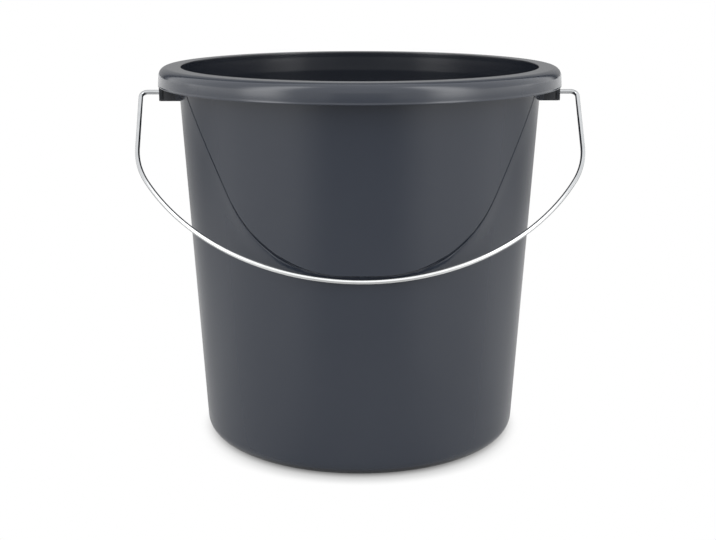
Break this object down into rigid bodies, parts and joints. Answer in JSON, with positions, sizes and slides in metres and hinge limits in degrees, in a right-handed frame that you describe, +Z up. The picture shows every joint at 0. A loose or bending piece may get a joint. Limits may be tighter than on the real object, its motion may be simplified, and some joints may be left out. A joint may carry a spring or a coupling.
{
  "type": "bucket",
  "caption": "Round tapered bucket with a rolled rim, a raised U-shaped panel on the wall and a bare wire bail that swings over the rim in ears moulded under it.",
  "frame": {"origin": "centre of the base, on the plane that the bucket stands on", "axes": "+Z up along the bucket's axis; the bail's pivot line runs along X; the bail hangs on the -Y side, which is the front"},
  "size_m": [0.2428, 0.22, 0.2062],
  "materials": {
    "body_plastic": "satin",
    "bail_wire": "polished"
  },
  "bodies": {
    "bucket": {"bucket_body": "body_plastic"},
    "bail": {"wire_bail": "bail_wire"}
  },
  "joints": [
    {"name": "bail_swing", "type": "hinge", "parent": "bucket", "child": "bail", "pos_m": [0, 0, 0.1913], "axis": [-1, 0, 0], "range_deg": [0, 262.6]}
  ]
}
